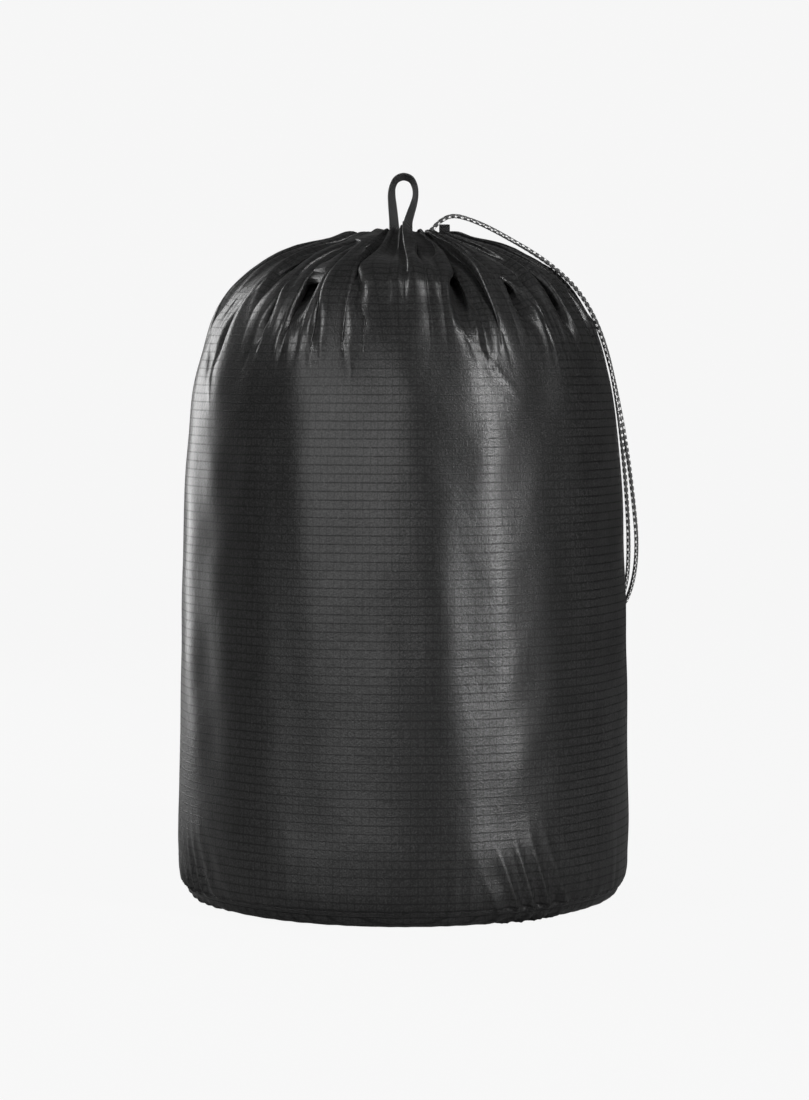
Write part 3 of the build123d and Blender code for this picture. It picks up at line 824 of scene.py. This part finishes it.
# ---------------------------------------------------------------- tapes inside
# Woven tape, sewn over the raw edges of the base seam and the side seam so that they don't fray.
def tape_material():
    """Woven binding tape: matt black with fine cross ribs."""
    material, nodes, links, shader = new_material("binding_tape")
    work = partial(math_node, nodes, links)
    coords = nodes.new("ShaderNodeTexCoord")
    ribs = nodes.new("ShaderNodeTexWave")
    ribs.inputs["Scale"].default_value = 320.0
    ribs.inputs["Distortion"].default_value = 0.4
    links.new(coords.outputs["Object"], ribs.inputs["Vector"])
    patches, fibres = add_textile_noise(nodes, links, coords.outputs["Object"], 120.0, 3000.0)
    tone = work("MULTIPLY_ADD", ribs.outputs["Fac"], 0.6, work("MULTIPLY", fibres, 0.4))
    links.new(colour_ramp(nodes, links, tone, ((0.2, 0.012), (0.9, 0.045))), shader.inputs["Base Color"])
    shader.inputs["Roughness"].default_value = 0.8
    add_bump(nodes, links, shader, tone, 0.4, 0.0002)
    return material


def dress_nodes(finish, *names):
    """Gives CAD pieces that are shown as they are their material."""
    for name in names:
        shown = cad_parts[name]
        shown.data.materials.clear()
        shown.data.materials.append(finish)


dress_nodes(tape_material(), "base_seam_binding", "side_seam_tape")


# ---------------------------------------------------------------- stitching
# Lockstitch in bonded polyester: each stitch is a short rounded thread that dips at both ends
# into the cloth. Rows run round the base seam, up the side seam at the back and round the hem.
THREAD_R = 0.00022
STITCH_LONG = 0.0034
STITCH_PITCH = 0.0046
HEM_ROW_STITCHES = 34


def stitch_row(name, centres, along, outward, length):
    """One mesh of many stitches: on each centre a thread of the given length lies along the
    row, its middle raised off the cloth by a half sine and its ends pushed in."""
    t = np.linspace(0, 1, 7)
    ring = np.linspace(0, TURN, 7)[:-1]
    rise = THREAD_R * (1.5 * np.sin(np.pi * t) - 0.5)
    thick = THREAD_R * (0.55 + 0.45 * np.sin(np.pi * t) ** 0.5)
    across = np.cross(along, outward)
    spine = (centres[:, None] + along[:, None] * ((t - 0.5) * length)[None, :, None]
             + outward[:, None] * rise[None, :, None])
    hoop = (across[:, None, None] * np.cos(ring)[None, None, :, None]
            + outward[:, None, None] * np.sin(ring)[None, None, :, None])
    places = spine[:, :, None] + hoop * thick[None, :, None, None]
    count, rows, cols = places.shape[:3]
    r, c = np.meshgrid(np.arange(rows - 1), np.arange(cols), indexing="ij")
    quads = np.stack([r * cols + c, (r + 1) * cols + c, (r + 1) * cols + (c + 1) % cols,
                      r * cols + (c + 1) % cols], -1).reshape(-1, 4)
    first = np.arange(cols)
    last = (rows - 1) * cols + np.arange(cols)[::-1]
    faces = []
    for i in range(count):
        shift = i * rows * cols
        faces += (quads + shift).tolist()
        faces.append((first + shift).tolist())
        faces.append((last + shift).tolist())
    mesh = bpy.data.meshes.new(name)
    mesh.from_pydata(places.reshape(-1, 3).tolist(), [], faces)
    mesh.polygons.foreach_set("use_smooth", np.ones(len(mesh.polygons), bool))
    mesh.update()
    piece = bpy.data.objects.new(name, mesh)
    scene.collection.objects.link(piece)
    return piece


def on_panel(u, s):
    """A point, the direction round and the outward normal of the finished panel at (u, s)."""
    def place(u, s):
        row = np.interp(s, row_s, np.arange(len(row_s)))
        col = np.interp(u % CLOTH_ROUND, column_u, np.arange(len(column_u)))
        r0 = np.clip(row.astype(int), 0, len(row_s) - 2)
        c0 = np.clip(col.astype(int), 0, len(column_u) - 2)
        fr, fc = (row - r0)[:, None], (col - c0)[:, None]
        return ((1 - fr) * ((1 - fc) * panel_places[r0, c0] + fc * panel_places[r0, c0 + 1])
                + fr * ((1 - fc) * panel_places[r0 + 1, c0] + fc * panel_places[r0 + 1, c0 + 1]))
    here = place(u, s)
    round_way = unit(place(u + 0.0012, s) - place(u - 0.0012, s))
    up_way = unit(place(u, s + 0.0012) - place(u, s - 0.0012))
    return here, round_way, up_way, unit(np.cross(round_way, up_way))


def thread_material():
    """Bonded thread: dark grey plied filament with a soft shine."""
    material, nodes, links, shader = new_material("bonded_thread")
    coords = nodes.new("ShaderNodeTexCoord")
    patches, fibres = add_textile_noise(nodes, links, coords.outputs["Object"], 240.0, 5200.0)
    links.new(colour_ramp(nodes, links, fibres, ((0.25, 0.006), (0.75, 0.07))), shader.inputs["Base Color"])
    shader.inputs["Roughness"].default_value = 0.45
    add_bump(nodes, links, shader, patches, 0.3, 0.0001)
    return material


thread_finish = thread_material()
BASE_STITCHES = 170
row_u = (np.arange(BASE_STITCHES) + 0.5) / BASE_STITCHES * CLOTH_ROUND
centre, round_way, up_way, outward = on_panel(row_u, np.full(BASE_STITCHES, BASE_ROW_S))
base_row = stitch_row("base_seam_thread", centre, round_way, outward, STITCH_LONG)
seam_s = np.arange(0.012, 0.335, STITCH_PITCH)
centre, round_way, up_way, outward = on_panel(np.full(len(seam_s), SEAM_U + 0.0036), seam_s)
side_row = stitch_row("side_seam_thread", centre, up_way, outward, STITCH_LONG)
for row_piece, node in ((base_row, "base_seam_stitches"), (side_row, "side_seam_stitches")):
    row_piece.data.materials.append(thread_finish)
    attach(row_piece, "root")
    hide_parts(node)

hem_row_turn = np.linspace(-2.35, 2.35, HEM_ROW_STITCHES) + math.pi / 2
hem_row_r = 0.0222
centre = about_axis(hem_row_r, hem_row_turn, np.full(HEM_ROW_STITCHES, 0.3698))
round_way = np.stack([np.cos(hem_row_turn), np.sin(hem_row_turn), np.zeros(HEM_ROW_STITCHES)], 1)
outward = np.tile((0.0, 0.0, 1.0), (HEM_ROW_STITCHES, 1))
hem_stitches = stitch_row("hem_thread", centre, round_way, outward, 0.0024)
hem_stitches.data.materials.append(thread_finish)
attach(hem_stitches, "root")
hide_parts("tunnel_stitches")


# ---------------------------------------------------------------- webbing loop
# A piece of 6 mm herringbone webbing, folded into a standing loop whose two ends are
# sewn side by side to the inside of the hem. Its legs lie flat to the front and turn on edge
# towards the top.
WEB_W = 0.0056
WEB_T = 0.0010
RIB_PITCH = 0.0015
STRIP_COLUMNS = 19
LOOP_Y = -0.0135
LOOP_PATH = np.array([
    (-4.75, 361.2), (-4.75, 366.0), (-4.75, 371.0), (-5.0, 375.6), (-5.4, 380.4),
    (-5.9, 385.6), (-6.25, 390.4),
    (-5.7, 395.2), (-3.4, 399.2), (0.3, 400.6), (4.2, 399.3), (6.5, 395.2), (6.9, 390.4), (5.8, 385.2),
    (4.1, 380.0), (2.8, 375.4), (2.5, 371.0), (2.55, 366.0), (2.55, 361.2),
]) * 0.001
WEB_TURN = np.radians([0, 0, 8, 22, 28, 34, 44, 54, 50, 46, 50, 58, 60, 48, 36, 26, 10, 0, 0])


def webbing_strip(name, path, inward, tilt, width, thickness):
    """A flat strip carried along a path. Its width lies along cos(tilt) * inward + sin(tilt) * Y.
    Its section is a rounded bar, and slanted ribs that meet in the middle raise its two faces."""
    runs = run_lengths(path)
    s = np.linspace(0, runs[-1], max(24, round(runs[-1] / 0.00022)))
    line = smooth_line(runs, path, s)
    tangent = unit(np.gradient(line, s, axis=0))
    way_in = smooth_line(runs, inward, s)
    way_in = unit(way_in - tangent * (way_in * tangent).sum(1, keepdims=True))
    binormal = np.cross(tangent, way_in)
    back = np.sign((binormal @ np.array((0.0, 1.0, 0.0))).mean()) * binormal
    lean = smooth_line(runs, tilt, s)[:, None]
    wide = unit(np.cos(lean) * way_in + np.sin(lean) * back)
    flat = np.cross(tangent, wide)
    across = np.concatenate([np.linspace(-1, 1, STRIP_COLUMNS), np.linspace(1, -1, STRIP_COLUMNS)])
    face = np.r_[np.ones(STRIP_COLUMNS), -np.ones(STRIP_COLUMNS)]
    edge = np.clip((1 - np.abs(across)) * width / thickness, 0, 1)
    half = thickness / 2 * np.sqrt(edge * (2 - edge)).clip(0.12, 1)
    rib = np.sin(TURN * (s[:, None] + 1.1 * np.abs(across)[None] * width / 2) / RIB_PITCH)
    cross_rib = np.sin(TURN * across[None] * 5.5)
    relief = 0.00009 * rib * (0.7 + 0.3 * cross_rib) * edge[None]
    places = (line[:, None] + wide[:, None] * (across * width / 2)[None, :, None]
              + flat[:, None] * ((half * face)[None] + relief * face[None])[..., None])
    uv_u = np.r_[np.linspace(0, width, STRIP_COLUMNS), np.linspace(width, 2 * width, STRIP_COLUMNS),
                 2 * width + 0.0003]
    uv = np.stack(np.broadcast_arrays(uv_u[None], s[:, None]), -1)
    return grid_mesh(name, places[:, ::-1], uv, around=True, caps=True)


def webbing_material():
    """Black nylon webbing in a fine herringbone: slanted ribs that change hand at the middle.
    The rib crests are painted pale, a painted highlight, and the gaps between them dark, a painted shade.
    """
    material, nodes, links, shader = new_material("herringbone_webbing")
    work = partial(math_node, nodes, links)
    coords = nodes.new("ShaderNodeTexCoord")
    split = nodes.new("ShaderNodeSeparateXYZ")
    links.new(coords.outputs["UV"], split.inputs[0])
    fold = work("PINGPONG", split.outputs[0], WEB_W / 2)
    slant = work("MULTIPLY_ADD", fold, 1.1, split.outputs[1])
    rib = work("PINGPONG", work("DIVIDE", slant, RIB_PITCH), 0.5)
    fine = work("PINGPONG", work("DIVIDE", split.outputs[0], 0.00052), 0.5)
    patches, fibres = add_textile_noise(nodes, links, coords.outputs["Object"], 300.0, 4200.0)
    # Pale rib crests are a painted highlight and the dark gaps between the ribs a painted shade on the black
    # webbing.
    tone = work("ADD", work("MULTIPLY", rib, 1.1),
                     work("MULTIPLY_ADD", fine, 0.35, work("MULTIPLY", fibres, 0.35)))
    blacks = colour_ramp(nodes, links, tone, ((0.42, 0.003), (0.55, 0.018), (0.72, 0.12)))
    links.new(blacks, shader.inputs["Base Color"])
    links.new(work("MULTIPLY_ADD", patches, 0.2, 0.6), shader.inputs["Roughness"])
    shader.inputs["Specular IOR Level"].default_value = 0.25
    shader.inputs["Sheen Weight"].default_value = 0.04
    add_bump(nodes, links, shader, tone, 0.5, 0.00025)
    return material


web_finish = webbing_material()
loop_path = np.stack([LOOP_PATH[:, 0], np.full(len(LOOP_PATH), LOOP_Y), LOOP_PATH[:, 1]], 1)
loop_path[:, 1] += np.interp(LOOP_PATH[:, 1], (0.371, 0.400), (0.0, 0.0015))
loop_middle = np.array([0.0003, 0, 0.386])
legs_in = np.sign(loop_middle[0] - loop_path[:, 0])
blend_up = step_up(LOOP_PATH[:, 1], 0.391, 0.4005)
loop_inward = np.stack([legs_in * (1 - blend_up), 0 * blend_up, -blend_up], 1)
loop = webbing_strip("pull_loop_webbing", loop_path, loop_inward, WEB_TURN, WEB_W, WEB_T)
loop.data.materials.append(web_finish)
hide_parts("webbing_loop", "webbing_loop_sewn_ends")
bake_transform(loop)
dress_nodes(thread_finish, "webbing_loop_bartacks")


# ---------------------------------------------------------------- mouth tab
# A 6 mm wide end of the same webbing, folded over and caught in the hem's rim.
tab_low, tab_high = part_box("mouth_tab")
tab_middle = (tab_low + tab_high) / 2
tab_leg = (tab_high.y - tab_low.y) / 2 - WEB_T / 2
TAB_FOOT = 0.0040
tab_turn = np.linspace(math.pi, 0, 9)
tab_arch_z = tab_high.z - WEB_T / 2 - tab_leg
tab_y = np.r_[-tab_leg, -tab_leg, tab_leg * np.cos(tab_turn), tab_leg, tab_leg] + tab_middle.y
tab_z = np.r_[tab_low.z - TAB_FOOT, tab_low.z - TAB_FOOT / 2, tab_arch_z + tab_leg * np.sin(tab_turn),
              tab_low.z - TAB_FOOT / 2, tab_low.z - TAB_FOOT]
tab_path = np.stack([np.full(len(tab_y), tab_middle.x), tab_y, tab_z], 1)
tab_inward = np.tile((1.0, 0.0, 0.0), (len(tab_y), 1))
tab = webbing_strip("mouth_tab_webbing", tab_path, tab_inward, np.zeros(len(tab_y)),
                    tab_high.x - tab_low.x, WEB_T)
tab.data.materials.append(web_finish)
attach(tab, "root")
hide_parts("mouth_tab")
dress_nodes(thread_finish, "mouth_tab_bartack")


# ---------------------------------------------------------------- cord lock
# Barrel and button are moulded in black acetal with a fine matt texture; the spring is steel.


def acetal_material():
    """Moulded acetal: near black, matt, with a fine spark-eroded grain and a slightly patchy tone."""
    material, nodes, links, shader = new_material("moulded_acetal")
    work = partial(math_node, nodes, links)
    coords = nodes.new("ShaderNodeTexCoord")
    patches, grain = add_textile_noise(nodes, links, coords.outputs["Object"], 180.0, 5000.0)
    links.new(colour_ramp(nodes, links, patches, ((0.3, 0.012), (0.8, 0.028))), shader.inputs["Base Color"])
    links.new(work("MULTIPLY_ADD", patches, 0.2, 0.36), shader.inputs["Roughness"])
    add_bump(nodes, links, shader, grain, 0.25, 0.00008)
    return material


def spring_material():
    """Drawn steel wire with fine lengthwise scratches."""
    material, nodes, links, shader = new_material("spring_steel")
    work = partial(math_node, nodes, links)
    coords = nodes.new("ShaderNodeTexCoord")
    patches, scratches = add_textile_noise(nodes, links, coords.outputs["Object"], 400.0, 3000.0)
    links.new(colour_ramp(nodes, links, scratches, ((0.3, 0.45), (0.8, 0.70))), shader.inputs["Base Color"])
    links.new(work("MULTIPLY_ADD", patches, 0.15, 0.25), shader.inputs["Roughness"])
    shader.inputs["Metallic"].default_value = 1.0
    return material


acetal = acetal_material()
spring_steel = spring_material()
spring_low, spring_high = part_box("cord_lock_spring")
SPRING_WIRE = 0.0004
SPRING_TURNS = 3.0
spring_r = (spring_high.x - spring_low.x) / 2 - SPRING_WIRE / 2
spring_free = spring_high.y - spring_low.y
spring_t = np.linspace(0, 1, 220)
spring_ring = np.linspace(0, TURN, 11)
st, sr = np.meshgrid(spring_t * TURN * SPRING_TURNS, spring_ring, indexing="ij")
spring_y = (spring_low.y + SPRING_WIRE / 2 + (spring_free - SPRING_WIRE) * spring_t)[:, None]
spring_reach = spring_r + SPRING_WIRE / 2 * np.cos(sr)
spring_places = np.stack([(spring_low.x + spring_high.x) / 2 + spring_reach * np.cos(st),
                          spring_y + SPRING_WIRE / 2 * np.sin(sr),
                          (spring_low.z + spring_high.z) / 2 + spring_reach * np.sin(st)], -1)
spring = grid_mesh("cord_lock_coil", spring_places[:, :-1],
                   np.stack([sr / TURN, st * spring_r], -1), around=True, caps=True)
spring.data.materials.append(spring_steel)
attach(spring, "cord_lock")
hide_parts("cord_lock_spring")
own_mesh(spring)
dress_nodes(acetal, "cord_lock_barrel", "cord_lock_plunger")


# ---------------------------------------------------------------- studio
# Pale floor that curves up into a wall. A tall narrow light right of the camera, a broad fill
# left of it, a strip behind on the left and a small light high on the left.
FLOOR_GLOW = 0.92
SKY_LIGHT = 0.03
SKY_GLOW = 0.94
floor_line = np.concatenate([
    np.stack([np.linspace(-6, 2.2, 12), np.zeros(12)], 1),
    np.stack([2.2 + 1.5 * np.sin(np.linspace(0, math.pi / 2, 20)[1:]),
              1.5 * (1 - np.cos(np.linspace(0, math.pi / 2, 20)[1:]))], 1),
    np.array([(3.7, 6.0)]),
])
floor_places = np.stack([np.stack([np.full(len(floor_line), x), floor_line[:, 0], floor_line[:, 1]], 1)
                         for x in (7.0, -7.0)], 1)
floor = grid_mesh("studio_floor", floor_places[:, ::-1], np.zeros((len(floor_line), 2, 2)))
floor_material, floor_nodes, floor_links, floor_shader = new_material("studio_white")
floor_shader.inputs["Base Color"].default_value = (0.30, 0.30, 0.30, 1)
floor_shader.inputs["Roughness"].default_value = 0.9
glow = floor_nodes.new("ShaderNodeEmission")
glow.inputs["Strength"].default_value = 1.0
seen = floor_nodes.new("ShaderNodeLightPath")
share = math_node(floor_nodes, floor_links, "MULTIPLY", seen.outputs["Is Camera Ray"], FLOOR_GLOW)
blend_glow = floor_nodes.new("ShaderNodeMixShader")
floor_links.new(share, blend_glow.inputs[0])
floor_links.new(floor_shader.outputs[0], blend_glow.inputs[1])
floor_links.new(glow.outputs[0], blend_glow.inputs[2])
floor_links.new(blend_glow.outputs[0], floor_nodes["Material Output"].inputs["Surface"])
floor.data.materials.append(floor_material)

world = bpy.data.worlds.new("studio")
scene.world = world
world.use_nodes = True
sky = world.node_tree.nodes["Background"]
sky.inputs["Color"].default_value = (1, 1, 1, 1)
sky_seen = world.node_tree.nodes.new("ShaderNodeLightPath")
world.node_tree.links.new(math_node(world.node_tree.nodes, world.node_tree.links, "MULTIPLY_ADD",
                                    sky_seen.outputs["Is Camera Ray"], SKY_GLOW, SKY_LIGHT), sky.inputs["Strength"])
scene.view_settings.view_transform = "Standard"


def soft_light(name, azimuth, distance, height, width, tall, power):
    """A rectangle of light at an azimuth round the sack, turned to face the middle of the sack."""
    data = bpy.data.lights.new(name, "AREA")
    data.shape = "RECTANGLE"
    data.size = width
    data.size_y = tall
    data.energy = power
    lamp = bpy.data.objects.new(name, data)
    a = math.radians(azimuth)
    lamp.location = (distance * math.sin(a), -distance * math.cos(a), height)
    lamp.rotation_euler = (math.radians(90) - math.atan2(height - 0.25, distance), 0, a)
    scene.collection.objects.link(lamp)


soft_light("right_front_softbox", 48, 1.5, 0.50, 0.12, 2.5, 21)
soft_light("left_rear_strip", -134, 1.4, 0.35, 0.50, 1.6, 11)
soft_light("front_fill", -30, 2.6, 0.45, 2.7, 2.2, 27)
soft_light("high_left_front", -62, 1.5, 1.5, 0.5, 0.5, 7)
